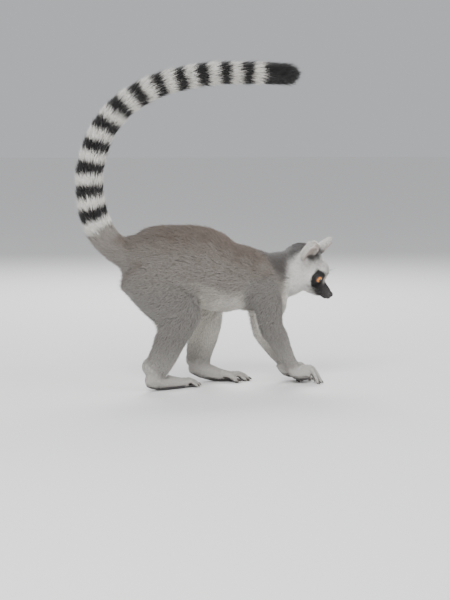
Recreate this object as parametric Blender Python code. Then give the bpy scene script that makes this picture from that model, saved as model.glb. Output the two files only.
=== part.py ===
"""A ring-tailed lemur at life size, walking with its tail arched forward over its back.

The outline reaches the tips of the coat. The animal is modelled whole from smooth tubes and balls,
fused into one skin, and then parted by thin cuts into named solids.
Sizes in the tables are in millimetres. +X is forward, +Y is the animal's left, +Z is up.
"""

import math

import bmesh
import bpy
from mathutils import Matrix, Vector

MM = 0.001
CUT = 0.5  # width of every parting cut
RING_SIDES = 20
SPAN_STEPS = 5  # rings between two stations of a tube
CAP_ANGLES = (25, 50, 72)  # degrees, rings of a rounded end
SIDES = {"right": -1, "left": 1}

# Voxel size, smoothing passes and number of triangles of each fused skin
BODY_SKIN = (3.6, 6, 2450)
HEAD_SKIN = (1.5, 4, 1560)
PAW_SKIN = (1.1, 2, 400)

COLOURS = {
    "grey_coat": (0.33, 0.30, 0.27),
    "white_coat": (0.78, 0.75, 0.70),
    "dark_coat": (0.03, 0.03, 0.03),
    "nose_skin": (0.015, 0.014, 0.014),
    "eye": (0.62, 0.25, 0.03),
}

# Trunk, from the rump to the front of the chest: x, y, z, half width, half height
TRUNK = (
    (-114, 0, 230, 36, 46),
    (-88, 0, 229, 47, 60),
    (-50, 0, 222, 54, 68),
    (-5, 0, 213, 55, 73),
    (40, 0, 195.5, 54, 66.5),
    (78, 0, 190.5, 49, 59),
    (108, 0, 181, 43, 57),
)
NECK = (
    (92, 0, 192, 42, 50),
    (126, -1, 192, 38, 43),
    (150, -4, 197, 34, 43),
    (178, -8, 204, 28, 36),
)
CHEST_FRONT = ((122, 0, 160), (38, 38, 47))  # centre and half sizes of the breast

# Tail: it leaves its root at this heading (degrees up from forward), then follows arcs, each a length
# and a bend towards the head in degrees. It leans to the left on the way and thins towards the tip.
TAIL_ROOT, TAIL_HEADING = (-104.5, 0, 229), 174
TAIL_ARCS = ((112, 65), (93, 26), (182, 60), (134, 21), (113, 5))
TAIL_LEAN = 11
TAIL_RADII = (28.5, 21)  # root and tip
ARC_STEPS = 3
TRUNK_CUTS = (((136, 0, 198), (0.86, 0, 0.51), 58), ((45, 0, 200), (1, 0, 0.2), 92))  # point, direction, radius
# Drums that part the thighs and upper arms: half width, nearest and furthest y, reach past the joint
LIMB_CELLS = {"thigh_": (54, 18, 130, 24), "upper_arm_": (34, 12, 100, 8)}
CELL_SIDES = 18
TAIL_CUTS = (0.09, 0.24, 0.39, 0.54, 0.69, 0.84)  # shares of the tail's length


# Limbs: x, y, z, half side, half depth, from the top down. y counts outwards.
THIGH = {
    "right": ((-101, 18, 204, 30, 54), (-79, 34, 172, 30, 50), (-54, 46, 142, 26, 44), (-42, 50, 120, 21, 38)),
    "left": ((-72, 18, 210, 30, 50), (-42, 36, 176, 28, 46), (-3, 47, 146, 23, 39), (14, 47, 126, 20, 30)),
}
SHANK = {
    "right": ((-47.5, 51, 130, 20, 36.5), (-64.5, 54, 92, 20, 29.5), (-84.5, 57, 50, 17, 25), (-98, 58, 36, 14, 23)),
    "left": ((14.5, 46, 134, 20, 33), (11.5, 44, 98, 20, 30.5), (2, 39, 62, 17, 26.5), (-3, 35, 36, 14, 22)),
}
UPPER_ARM = {
    "right": ((106, 26, 180, 22, 32), (112.5, 34, 150, 21, 27.5), (116, 34, 118, 18, 25), (119, 32, 98, 16, 22)),
    "left": ((98, 26, 180, 22, 32), (107, 34, 150, 21, 23), (114, 34, 118, 18, 22), (116, 33, 98, 16, 21)),
}
FOREARM = {
    "right": ((118.5, 33, 108, 17, 23.5), (132, 29, 84, 16, 20.5), (148, 22, 53, 13, 16), (163, 17, 30, 11, 11.5)),
    "left": ((115, 33, 108, 17, 22), (122, 31, 84, 16, 21), (140, 27, 52, 13, 15), (156, 24, 32, 11, 10.5)),
}

# Feet and hands: where the ankle or wrist stands (x, y outwards) and the way the toes point, degrees inwards
FOOT_PLACE = {"right": (-94.5, 57, 29), "left": (-2, 34, 0)}
HAND_PLACE = {"right": (161, 18, 2), "left": (152, 24, 2)}

# Foot, from the heel forward: x, z, half width, half height in the foot's own frame
FOOT = ((-5.5, 19.5, 12.5, 16.5), (12, 15, 13, 16), (38, 11, 14, 12.5), (62, 8, 14.5, 9.5))
HEEL_LIFT = {"right": 1, "left": 8}
# Toes: (root x, root y, length, spread in degrees, radius), y towards the inner side of the foot
TOES = (
    (42, 9, 30, 36, 5.8),
    (65, 6.5, 20, 9, 4.5),
    (68, 1, 24, 2, 4.7),
    (67, -5.5, 24, -6, 4.7),
    (62, -11, 20, -14, 4.4),
)
HAND = ((-2, 29, 10.5, 10), (9, 19, 12, 12.5), (24, 19.5, 13.5, 14.5))
FINGERS = (
    (10, 9, 21, 48, 3.9),
    (25, 8, 22, 13, 3.5),
    (27, 3, 25, 4, 3.6),
    (26, -3, 27, -5, 3.6),
    (23, -9, 22, -17, 3.5),
)

# Head, in its own frame: +x to the nose, +y to its left, +z to the crown
HEAD_AT = (188.5, -6, 208.5)
HEAD_PITCH, HEAD_TURN, HEAD_ROLL = 39, 28, 0  # degrees: nose down, nose to the right, left ear down
NECK_FACES = (0.97, -0.22, -0.06)  # direction of the cut between neck and head
CRANIUM = ((-9, 0, 6), (40, 34, 32.5))
FOREHEAD = ((19, 0, 12), (21, 24, 20))
CHEEK = ((5, 16.5, -11), (28, 17, 19))
BROW = ((22.5, 14.5, 9.5), (9.5, 9.5, 8.5))
MUZZLE = ((8, 0, -5, 27, 21), (26, 0, -7, 19.5, 17), (40, 0, -9, 14.5, 14), (55, 0, -10.5, 10.8, 10.5))
JAW = ((-6, 0, -22, 18, 15), (24, 0, -23.5, 12.5, 10.5), (46, 0, -20.5, 8, 7))
EYE_AT, EYE_RADIUS = (28.5, 16.2, 4), 9.2
NOSE_AT, NOSE_RADIUS = (62, 0, -8.5), 8.2
EAR_AT, EAR_AIM, EAR_FACES = (-6.5, 27, 22.5), (0.02, 0.76, 0.65), (0.93, 0.37, 0)
# Ear, from its root to its tip: x and z in the ear's frame (x to its open side), half width, half thickness
EAR = ((0, 0, 15, 11), (0, 14, 18, 11), (-1, 29, 17, 10), (-2, 41.5, 11, 7))
EAR_CUP = ((11, 4, 10, 9), (10, 15, 14, 10), (8, 28, 12, 8), (6, 38, 6, 5))


def clear_scene():
    for item in list(bpy.data.objects):
        bpy.data.objects.remove(item, do_unlink=True)


def curve_through(stations, steps=SPAN_STEPS):
    """Stations with smooth ones between them, on a Catmull-Rom curve that also blends the sizes."""
    rows = [Vector(s) for s in stations]
    padded = [rows[0] * 2 - rows[1], *rows, rows[-1] * 2 - rows[-2]]
    smooth = []
    for a, b, c, d in zip(padded, padded[1:], padded[2:], padded[3:]):
        for step in range(steps):
            t = step / steps
            smooth.append(
                0.5 * (2 * b + (c - a) * t + (2 * a - 5 * b + 4 * c - d) * t**2 + (3 * b - a - 3 * c + d) * t**3)
            )
    return smooth + [rows[-1]]


def add_tube(bm, stations, side=(0, 1, 0), steps=SPAN_STEPS):
    """A closed tube with round ends. A station is x, y, z, half size along side, half size across it."""
    rows = curve_through(stations, steps)
    centres = [Vector(r[:3]) for r in rows]
    rings = []
    for i, row in enumerate(rows):
        along = (centres[min(i + 1, len(rows) - 1)] - centres[max(i - 1, 0)]).normalized()
        across = (Vector(side) - along * along.dot(Vector(side))).normalized()
        rings.append((centres[i], along, across, row[3], row[4]))
    first, last = rings[0], rings[-1]
    rings = cap_rings(first, -1) + rings + cap_rings(last, 1)
    loops = []
    for centre, along, across, half_side, half_depth in rings:
        up = along.cross(across)
        loop = []
        for k in range(RING_SIDES):
            angle = 2 * math.pi * k / RING_SIDES
            point = centre + across * (half_side * math.cos(angle)) + up * (half_depth * math.sin(angle))
            loop.append(bm.verts.new(point * MM))
        loops.append(loop)
    for lower, upper in zip(loops, loops[1:]):
        for k in range(RING_SIDES):
            j = (k + 1) % RING_SIDES
            bm.faces.new((lower[k], lower[j], upper[j], upper[k]))
    bm.faces.new(list(reversed(loops[0])))
    bm.faces.new(loops[-1])


def cap_rings(ring, way):
    """Shrinking rings that round off the end of a tube."""
    centre, along, across, half_side, half_depth = ring
    reach = min(half_side, half_depth)
    caps = []
    for angle in CAP_ANGLES:
        shrink = math.cos(math.radians(angle))
        shift = along * (way * reach * math.sin(math.radians(angle)))
        caps.append((centre + shift, along, across, half_side * shrink, half_depth * shrink))
    return caps if way > 0 else caps[::-1]


def add_ball(bm, centre, radii, frame=Matrix.Identity(4)):
    size = Matrix.Diagonal((*[r * MM for r in radii], 1))
    place = Matrix.Translation(Vector(centre) * MM)
    bmesh.ops.create_icosphere(bm, subdivisions=3, radius=1, matrix=place @ frame @ size)


def mirrored(centre, way):
    return (centre[0], centre[1] * way, centre[2])


def outwards(stations, way):
    """Stations whose y counts outwards, for one side of the body."""
    return [(x, y * way, *rest) for x, y, *rest in stations]


def as_object(name, bm):
    bmesh.ops.recalc_face_normals(bm, faces=bm.faces)
    mesh = bpy.data.meshes.new(name)
    bm.to_mesh(mesh)
    bm.free()
    item = bpy.data.objects.new(name, mesh)
    bpy.context.scene.collection.objects.link(item)
    return item


def bake_modifiers(item):
    """Replaces the object's mesh by what its modifiers make of it."""
    graph = bpy.context.evaluated_depsgraph_get()
    mesh = bpy.data.meshes.new_from_object(item.evaluated_get(graph))
    item.modifiers.clear()
    item.data = mesh


def fuse(item, voxel, passes, triangles):
    """Makes the object's tubes and balls one smooth closed skin of about that many triangles."""
    remesh = item.modifiers.new("one_skin", "REMESH")
    remesh.mode = "VOXEL"
    remesh.voxel_size = voxel * MM
    smooth = item.modifiers.new("smooth", "SMOOTH")
    smooth.factor = 0.5
    smooth.iterations = passes
    bake_modifiers(item)
    thin = item.modifiers.new("thin_out", "DECIMATE")
    thin.ratio = triangles / (2 * len(item.data.polygons))
    bake_modifiers(item)


def subtract(item, cutter):
    cut = item.modifiers.new("cut", "BOOLEAN")
    cut.operation = "DIFFERENCE"
    cut.object = cutter
    bake_modifiers(item)
    bpy.data.objects.remove(cutter, do_unlink=True)


def facing(at, aim, side=(0, 1, 0)):
    """Frame at a point in mm, with its z axis along aim and its y axis near side."""
    z = Vector(aim).normalized()
    x = Vector(side).cross(z).normalized()
    turn = Matrix((x, z.cross(x), z)).transposed().to_4x4()
    return Matrix.Translation(Vector(at) * MM) @ turn


def add_block(bm, frame, size, height):
    """A box that stands on the frame's origin and rises along its z axis."""
    scale = Matrix.Diagonal((size[0] * MM, size[1] * MM, height * MM, 1))
    bmesh.ops.create_cube(bm, size=1, matrix=frame @ Matrix.Translation((0, 0, height * MM / 2)) @ scale)


def add_disc_cut(bm, at, aim, radius):
    """A thin disc that parts a limb where it crosses it."""
    bmesh.ops.create_cone(
        bm,
        cap_ends=True,
        segments=16,
        radius1=radius * MM,
        radius2=radius * MM,
        depth=CUT * MM,
        matrix=facing(at, aim),
    )


def shell_cut(item, solid):
    """Cuts a thin gap along the surface of a closed solid, so that what lies inside it comes apart."""
    wall = solid.modifiers.new("wall", "SOLIDIFY")
    wall.thickness = CUT * MM
    wall.offset = 0
    bake_modifiers(solid)
    subtract(item, solid)


def part_out(item, names_at, material_of):
    """Makes each loose piece an object, named after the nearest point of names_at (in mm)."""
    bm = bmesh.new()
    bm.from_mesh(item.data)
    bm.verts.ensure_lookup_table()
    todo = set(bm.verts)
    pieces = []
    while todo:
        stack, piece = [todo.pop()], []
        while stack:
            vert = stack.pop()
            piece.append(vert)
            for edge in vert.link_edges:
                other = edge.other_vert(vert)
                if other in todo:
                    todo.remove(other)
                    stack.append(other)
        pieces.append(piece)
    for piece in pieces:
        low = Vector([min(v.co[k] for v in piece) for k in range(3)])
        high = Vector([max(v.co[k] for v in piece) for k in range(3)])
        middle = (low + high) / 2 / MM
        name = min(names_at, key=lambda n: (Vector(names_at[n]) - middle).length)
        copy = bmesh.new()
        renewed = {v: copy.verts.new(v.co) for v in piece}
        for face in {f for v in piece for f in v.link_faces}:
            copy.faces.new([renewed[v] for v in face.verts])
        bmesh.ops.triangulate(copy, faces=copy.faces)
        made = as_object(name, copy)
        if made.name != name:
            raise ValueError(f"two pieces are nearest to {name}: {middle}")
        made.data.materials.append(material_of(name))
    bm.free()
    bpy.data.objects.remove(item, do_unlink=True)


def material(name):
    if name in bpy.data.materials:
        return bpy.data.materials[name]
    made = bpy.data.materials.new(name)
    made.use_nodes = True
    shader = made.node_tree.nodes["Principled BSDF"]
    shader.inputs["Base Color"].default_value = (*COLOURS[name], 1)
    shader.inputs["Roughness"].default_value = 0.15 if name == "eye" else 0.85
    made.diffuse_color = (*COLOURS[name], 1)
    return made


def node_material(name):
    if name.startswith("eye"):
        return material("eye")
    if name == "nose":
        return material("nose_skin")
    if name == "tail_tip":
        return material("dark_coat")
    if name.startswith(("ear", "hand", "foot")):
        return material("white_coat")
    return material("grey_coat")


def head_frame():
    return (
        Matrix.Translation(Vector(HEAD_AT) * MM)
        @ Matrix.Rotation(math.radians(-HEAD_TURN), 4, "Z")
        @ Matrix.Rotation(math.radians(HEAD_PITCH), 4, "Y")
        @ Matrix.Rotation(math.radians(HEAD_ROLL), 4, "X")
    )


def head_point(point):
    """A point of the head's own frame, in mm, in the animal's frame."""
    return head_frame() @ (Vector(point) * MM) / MM


def neck_plane():
    """Where the neck meets the head: a point and the direction towards the head."""
    return head_point((-25, 0, -13)), Vector(NECK_FACES)


def limb_plane(stations, way, back=7):
    """Where a hand or foot meets its limb: a point on the limb's line and the direction down it."""
    upper, lower = (Vector(s[:3]) for s in outwards(stations[-2:], way))
    aim = (lower - upper).normalized()
    return lower - aim * back, aim


def paw_frame(place, way):
    x, y, turn = place
    return Matrix.Translation(Vector((x, y * way, 0)) * MM) @ Matrix.Rotation(math.radians(-turn * way), 4, "Z")


def make_ear(way):
    """A rounded triangular ear with a hollow front."""
    ear, cup = (bmesh.new() for _ in range(2))
    aim = Vector(mirrored(EAR_AIM, way)).normalized()
    frame = facing(mirrored(EAR_AT, way), aim, aim.cross(Vector(mirrored(EAR_FACES, way))))
    for bm, stations in ((ear, EAR), (cup, EAR_CUP)):
        add_tube(bm, [(x, 0, z, width, thickness) for x, z, width, thickness in stations])
        bm.transform(frame)
    ear = as_object("ear_form", ear)
    subtract(ear, as_object("ear_cup", cup))
    return ear


def foot_sole(side):
    """The foot's stations, with the heel lifted where only the front of the foot bears."""
    return [(x, z + HEEL_LIFT[side] * max(0, 1 - x / 34), *size) for x, z, *size in FOOT]


def add_skull(bm):
    add_ball(bm, *CRANIUM)
    add_ball(bm, *FOREHEAD)
    add_tube(bm, MUZZLE)
    add_tube(bm, JAW)
    for way in SIDES.values():
        for centre, radii in (CHEEK, BROW):
            add_ball(bm, mirrored(centre, way), radii)


def make_head():
    bm = bmesh.new()
    add_skull(bm)
    for way in SIDES.values():
        ear = make_ear(way)
        bm.from_mesh(ear.data)
        bpy.data.objects.remove(ear, do_unlink=True)
    bm.transform(head_frame())
    add_tube(bm, NECK)
    head = as_object("head_form", bm)
    fuse(head, *HEAD_SKIN)

    bm = bmesh.new()
    at, aim = neck_plane()
    add_block(bm, facing(at, -aim), (300, 300), 300)
    subtract(head, as_object("behind_head", bm))

    bm = bmesh.new()
    for way in SIDES.values():
        aim = Vector(mirrored(EAR_AIM, way)).normalized()
        add_disc_cut(bm, Vector(mirrored(EAR_AT, way)) + aim * 7, aim, 24)
    bm.transform(head_frame())
    subtract(head, as_object("ear_cuts", bm))

    bm = bmesh.new()
    for way in SIDES.values():
        add_ball(bm, mirrored(EYE_AT, way), (EYE_RADIUS + CUT,) * 3)
    bm.transform(head_frame())
    subtract(head, as_object("eye_sockets", bm))

    bm = bmesh.new()
    bmesh.ops.create_icosphere(bm, subdivisions=2, radius=NOSE_RADIUS * MM)
    bm.transform(head_frame() @ Matrix.Translation(Vector(NOSE_AT) * MM))
    shell_cut(head, as_object("nose_cut", bm))

    names_at = {"head": head_point((10, 0, -2)), "nose": head_point((68, 0, -12))}
    for side, way in SIDES.items():
        names_at["ear_" + side] = head_point((-12, 46 * way, 40))
    part_out(head, names_at, node_material)

    for side, way in SIDES.items():
        bm = bmesh.new()
        place = head_frame() @ Matrix.Translation(Vector(mirrored(EYE_AT, way)) * MM)
        bmesh.ops.create_uvsphere(bm, u_segments=12, v_segments=7, radius=EYE_RADIUS * MM, matrix=place)
        eye = as_object("eye_" + side, bm)
        eye.data.shade_smooth()
        eye.data.materials.append(material("eye"))


def make_paw(name, way, place, sole, digits, limb, tip_drop):
    """A hand or foot with its five digits, cut level where it meets the floor and square where it meets the limb."""
    bm = bmesh.new()
    add_tube(bm, [(x, 0, z, half_width, half_height) for x, z, half_width, half_height in sole])
    for root_x, root_y, length, spread, radius in digits:
        angle = math.radians(spread)
        stations = []
        for share, lift in ((-0.25, 1.0), (0.35, 1.12), (0.75, 0.55), (1, 0)):
            x = root_x + math.cos(angle) * length * share
            y = root_y + math.sin(angle) * length * share
            z = radius * 0.75 + tip_drop * lift
            stations.append((x, -y * way, z, radius, radius * (1.05 - 0.15 * share)))
        add_tube(bm, stations, steps=3)
    bm.transform(paw_frame(place, way))
    add_tube(bm, outwards(limb[-2:], way))
    paw = as_object(name + "_form", bm)
    fuse(paw, *PAW_SKIN)
    bm = bmesh.new()
    add_block(bm, facing((0, 0, 0), (0, 0, -1)), (900, 900), 60)
    subtract(paw, as_object("floor", bm))
    at, aim = limb_plane(limb, way)
    half_side, half_depth = limb[-2][3:]
    bm = bmesh.new()
    add_block(bm, facing(at + aim * CUT, -aim), (2.3 * half_depth, 3 * half_side), 80)
    subtract(paw, as_object("limb_end", bm))
    part_out(paw, {name: at}, node_material)


def tail_stations():
    """Stations along the tail's arcs: x, y, z, radius."""
    x, _, z = TAIL_ROOT
    root_radius, tip_radius = TAIL_RADII
    whole = sum(length for length, _ in TAIL_ARCS)
    heading, walked = TAIL_HEADING, 0
    stations = [(*TAIL_ROOT, root_radius)]
    for length, bend in TAIL_ARCS:
        step, turn = length / ARC_STEPS, bend / ARC_STEPS
        for _ in range(ARC_STEPS):
            way = math.radians(heading - turn / 2)
            x += step * math.cos(way)
            z += step * math.sin(way)
            heading -= turn
            walked += step
            share = min(1, walked / whole)
            radius = tip_radius + (root_radius - tip_radius) * (1 - share) ** 1.5
            stations.append((x, TAIL_LEAN * math.sin(math.pi * share), z, radius))
    return stations


def tail_point(share):
    """Centre and direction of the tail at a share of its length."""
    rows = [Vector(r[:3]) for r in curve_through(tail_stations())]
    lengths = [(b - a).length for a, b in zip(rows, rows[1:])]
    left = share * sum(lengths)
    for a, b, length in zip(rows, rows[1:], lengths):
        if left <= length:
            return a.lerp(b, left / length), (b - a).normalized()
        left -= length
    return rows[-1], (rows[-1] - rows[-2]).normalized()


def make_body():
    bm = bmesh.new()
    add_skull(bm)
    bm.transform(head_frame())
    add_tube(bm, TRUNK)
    add_tube(bm, NECK)
    add_ball(bm, *CHEST_FRONT)
    add_tube(bm, [(*row, row[-1]) for row in tail_stations()])
    for side, way in SIDES.items():
        for limb in (THIGH, SHANK, UPPER_ARM, FOREARM):
            add_tube(bm, outwards(limb[side], way))
    body = as_object("body_form", bm)
    fuse(body, *BODY_SKIN)

    bm = bmesh.new()
    at, aim = neck_plane()
    add_block(bm, facing(at - aim * CUT, aim), (130, 130), 120)
    for side, way in SIDES.items():
        for limb in (SHANK, FOREARM):
            at, aim = limb_plane(limb[side], way)
            half_side, half_depth = limb[side][-1][3:]
            add_block(bm, facing(at, aim), (4 * half_depth, 3 * half_side), 45)
    subtract(body, as_object("beyond_cuts", bm))

    bm = bmesh.new()
    for share in TAIL_CUTS:
        add_disc_cut(bm, *tail_point(share), 34)
    for at, aim, radius in TRUNK_CUTS:
        add_disc_cut(bm, at, aim, radius)
    subtract(body, as_object("trunk_cuts", bm))

    names_at = {"neck": (146, 0, 200), "chest": (90, 0, 185), "abdomen": (-40, 0, 210)}
    for n, (start, end) in enumerate(zip(TAIL_CUTS, (*TAIL_CUTS[1:], 1)), 1):
        names_at[f"tail_{n}" if end < 1 else "tail_tip"] = tail_point((start + end) / 2)[0]
    for side, way in SIDES.items():
        for part, limb in (("thigh_", THIGH), ("upper_arm_", UPPER_ARM)):
            stations = [Vector(s[:3]) for s in outwards(limb[side], way)]
            shell_cut(body, limb_cell(stations[0], stations[-1], *LIMB_CELLS[part], way))
            names_at[part + side] = (stations[0] + stations[-1]) / 2
        for part, limb in (("shank_", SHANK), ("forearm_", FOREARM)):
            stations = [Vector(s[:3]) for s in outwards(limb[side], way)]
            names_at[part + side] = (stations[0] + stations[-1]) / 2
    part_out(body, names_at, node_material)


def limb_cell(top, end, width, inner, outer, past, way):
    """A drum of rounded oblong outline round a thigh or upper arm, lying across the body. It ends past the knee or elbow."""
    along = Vector((end.x - top.x, 0, end.z - top.z))
    half_long = along.length * 0.58 + past / 2
    middle = Vector((end.x, 0, end.z)) + along.normalized() * (past - half_long)
    along.normalize()
    across = along.cross(Vector((0, 1, 0)))
    bm = bmesh.new()
    ends = [[], []]
    for k in range(CELL_SIDES):
        angle = 2 * math.pi * k / CELL_SIDES
        u, v = (math.copysign(math.sqrt(abs(w)), w) for w in (math.cos(angle), math.sin(angle)))
        point = middle + along * (half_long * u) + across * (width * v)
        for loop, y in zip(ends, (inner, outer)):
            loop.append(bm.verts.new((point.x * MM, way * y * MM, point.z * MM)))
    bm.faces.new(ends[0])
    bm.faces.new(ends[1])
    for k in range(CELL_SIDES):
        j = (k + 1) % CELL_SIDES
        bm.faces.new((ends[0][k], ends[0][j], ends[1][j], ends[1][k]))
    return as_object("limb_cell", bm)


def centre_on_floor():
    """Moves all parts level so that the middle of their common box stands over the origin."""
    meshes = [item.data for item in bpy.data.objects]
    points = [v.co for mesh in meshes for v in mesh.vertices]
    shift = [-(min(p[k] for p in points) + max(p[k] for p in points)) / 2 for k in range(2)]
    for mesh in meshes:
        mesh.transform(Matrix.Translation((*shift, 0)))


clear_scene()
make_body()
make_head()
for side, way in SIDES.items():
    make_paw("foot_" + side, way, FOOT_PLACE[side], foot_sole(side), TOES, SHANK[side], 8)
    make_paw("hand_" + side, way, HAND_PLACE[side], HAND, FINGERS, FOREARM[side], 24)
centre_on_floor()
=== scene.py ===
import heapq
import math

import bmesh
import bpy
import numpy as np
from mathutils import Matrix, Vector
from mathutils.bvhtree import BVHTree
from mathutils.kdtree import KDTree


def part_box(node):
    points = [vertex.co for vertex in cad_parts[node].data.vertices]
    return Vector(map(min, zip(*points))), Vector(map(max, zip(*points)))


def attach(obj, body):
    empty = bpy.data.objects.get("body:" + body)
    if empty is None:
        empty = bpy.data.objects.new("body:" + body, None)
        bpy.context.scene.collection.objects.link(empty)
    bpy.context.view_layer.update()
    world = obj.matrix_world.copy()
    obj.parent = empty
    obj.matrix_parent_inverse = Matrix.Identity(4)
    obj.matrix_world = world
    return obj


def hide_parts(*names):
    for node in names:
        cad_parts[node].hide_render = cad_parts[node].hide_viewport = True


mm = 0.001
chance = np.random.default_rng(7)
middle = (-0.0103, 0.0034, 0)  # where the solids' own origin stands once they are packed
shift = np.array(middle)
wayOut = {"left": 1, "right": -1}  # sign of y on each side of the animal

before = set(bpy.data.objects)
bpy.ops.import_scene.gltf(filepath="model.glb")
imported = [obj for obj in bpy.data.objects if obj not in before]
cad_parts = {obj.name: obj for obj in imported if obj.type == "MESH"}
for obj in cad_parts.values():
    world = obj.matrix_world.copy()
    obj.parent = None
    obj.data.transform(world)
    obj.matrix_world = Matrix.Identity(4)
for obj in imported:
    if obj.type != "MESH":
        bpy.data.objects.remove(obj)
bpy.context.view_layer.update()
print("frame loaded", len(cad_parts), "nodes")


def boxMiddle(node):
    low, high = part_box(node)
    return (low + high) / 2


def addObject(name, data):
    made = bpy.data.objects.new(name, data)
    bpy.context.scene.collection.objects.link(made)
    return made


def newPiece(name, bm, smooth=False):
    if smooth:
        for face in bm.faces:
            face.smooth = True
    mesh = bpy.data.meshes.new(name)
    bm.to_mesh(mesh)
    bm.free()
    return addObject(name, mesh)


def bakeModifiers(piece):
    graph = bpy.context.evaluated_depsgraph_get()
    mesh = bpy.data.meshes.new_from_object(piece.evaluated_get(graph))
    piece.modifiers.clear()
    piece.data = mesh


def newMaterial(name):
    made = bpy.data.materials.new(name)
    made.use_nodes = True
    return made, made.node_tree, made.node_tree.nodes["Principled BSDF"]


def setInputs(node, values):
    for name, value in values.items():
        node.inputs[name].default_value = value


def addNode(tree, kind, values=None):
    node = tree.nodes.new("ShaderNode" + kind)
    setInputs(node, values or {})
    return node


def attributeNode(tree, name):
    node = addNode(tree, "Attribute")
    node.attribute_name = name
    return node


def tintNode(tree, dark, light):
    node = addNode(tree, "ValToRGB")
    for stop, colour in zip(node.color_ramp.elements, (dark, light)):
        stop.color = (*colour, 1)
    return node


def wire(tree, *links):
    for source, output, target, socket in links:
        tree.links.new(source.outputs[output], target.inputs[socket])


def textureNode(tree, kind, values):  # laid by Object coordinates
    node = addNode(tree, "Tex" + kind, values)
    wire(tree, (addNode(tree, "TexCoord"), "Object", node, "Vector"))
    return node


# Camera and room

view = {
    "azimuth": -10, "elevation": 6, "distance": 2.8, "frameHeight": 1.08, "nearest": 0.05,
    "aim": (0.0405, 0.1521),  # right of and above the solids' origin
}
room = {
    "floor": (0.95, 0.945, 0.935), "floorSize": 30, "floorRoughness": 0.9,
    "sky": (0.81, 0.825, 0.85), "skyPower": 0.64, "lampsAim": (0, 0, 0.25),
}
lamps = {  # place, size, power
    "keyLamp": ((-0.9, -1.9, 1.9), 1.3, 62),
    "fillLamp": ((1.9, -1.3, 1.0), 1.6, 22),
    "rimLamp": ((0.2, 1.9, 1.7), 1.2, 50),
}


def makeCamera():
    a, e = math.radians(view["azimuth"]), math.radians(view["elevation"])
    back = Vector((math.sin(a) * math.cos(e), -math.cos(a) * math.cos(e), math.sin(e)))
    right = Vector((math.cos(a), math.sin(a), 0))
    aim = right * view["aim"][0] + back.cross(right) * view["aim"][1] + Vector(middle)
    camera = addObject("camera", bpy.data.cameras.new("camera"))
    camera.location = aim + back * view["distance"]
    camera.rotation_euler = (-back).to_track_quat("-Z", "Y").to_euler()
    camera.data.lens = camera.data.sensor_width * view["distance"] / view["frameHeight"]
    camera.data.clip_start = view["nearest"]
    bpy.context.scene.camera = camera


def makeRoom():
    bm = bmesh.new()
    bmesh.ops.create_grid(bm, x_segments=1, y_segments=1, size=room["floorSize"])
    floor = newPiece("floor", bm)
    made, _, shader = newMaterial("floorPaint")
    setInputs(shader, {"Base Color": (*room["floor"], 1), "Roughness": room["floorRoughness"]})
    floor.data.materials.append(made)
    for name, (place, size, power) in lamps.items():
        lamp = addObject(name, bpy.data.lights.new(name, "AREA"))
        lamp.data.size, lamp.data.energy = size, power
        lamp.location = place
        towards = Vector(room["lampsAim"]) - Vector(place)
        lamp.rotation_euler = towards.to_track_quat("-Z", "Y").to_euler()
    world = bpy.data.worlds.new("room")
    world.use_nodes = True
    sky = world.node_tree.nodes["Background"]
    setInputs(sky, {"Color": (*room["sky"], 1), "Strength": room["skyPower"]})
    bpy.context.scene.world = world
    print("room made with", len(lamps), "lamps")


# Head's own axes, from the eyes and the nose: x to the nose, y to its left, z to the crown

headMake = {"tilt": 20.5, "eyesAhead": 0.0285, "eyesAbove": 0.004}  # x lies so many degrees above the nose
eyes = {side: boxMiddle("eye_" + side) for side in wayOut}
noseTip = boxMiddle("nose")
eyeMiddle = (eyes["left"] + eyes["right"]) / 2
headY = (eyes["left"] - eyes["right"]).normalized()
toNose = noseTip - eyeMiddle
toNose = (toNose - headY * toNose.dot(headY)).normalized()
headX = (Matrix.Rotation(-math.radians(headMake["tilt"]), 3, headY) @ toNose).normalized()
headZ = headX.cross(headY)
headAxes = np.array([headX, headY, headZ])
headOrigin = np.array(eyeMiddle - headX * headMake["eyesAhead"] - headZ * headMake["eyesAbove"])


def inHead(points):
    return (points - headOrigin) @ headAxes.T / mm


def fromHead(x, y, z):
    return Vector(headOrigin + (np.array([x, y, z]) * mm) @ headAxes)


# Each named part: coat depth in mm, smoothing passes, layers of tufts, and how slender they are

flesh = {
    "head": (2.2, 14, 7.5, 1.0),
    "ear": (0.7, 4, 6, 1.0),
    "neck": (6, 30, 11, 0.85),
    "chest": (8, 44, 12, 0.8),
    "abdomen": (8, 44, 12, 0.8),
    "upper_arm": (5.5, 30, 8, 0.85),
    "forearm": (3.2, 16, 5.5, 1.0),
    "hand": (0.5, 2, 1.5, 1.0),
    "thigh": (6.5, 40, 8.5, 0.8),
    "shank": (3.8, 16, 5.5, 1.0),
    "foot": (0.7, 2, 1.6, 1.0),
    "tail": (10, 22, 16, 0.8),
}
fleshTable = np.array(list(flesh.values()), float)
kinds = list(flesh)
fleshNodes = sorted(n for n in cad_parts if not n.startswith("eye") and n != "nose")


def kindOf(node):
    for kind in kinds:
        if node == kind or node.startswith(kind + "_"):
            return kinds.index(kind)


def shareOf(share, kind):
    return share[:, kinds.index(kind)]


def ramp(x, low, high):
    t = np.clip((x - low) / (high - low), 0, 1)
    return t * t * (3 - 2 * t)


def rampAt(x, at, low, high):  # low and high count from this place
    return ramp(x, at + low, at + high)


def bell(x, width):
    return np.exp(-((x / width) ** 2))


def gapTo(points, place):  # in mm
    return np.linalg.norm(points - np.array(place), axis=1) / mm


def unit(rows):
    return rows / np.maximum(np.linalg.norm(rows, axis=1, keepdims=True), 1e-9)


def pointsOf(mesh, what="vertices", attribute="co", width=3, kind=float):
    rows = getattr(mesh, what)
    out = np.empty(len(rows) * width, np.float32 if kind is float else np.int32)
    rows.foreach_get(attribute, out)
    return out.reshape(-1, width).astype(kind)


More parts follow.
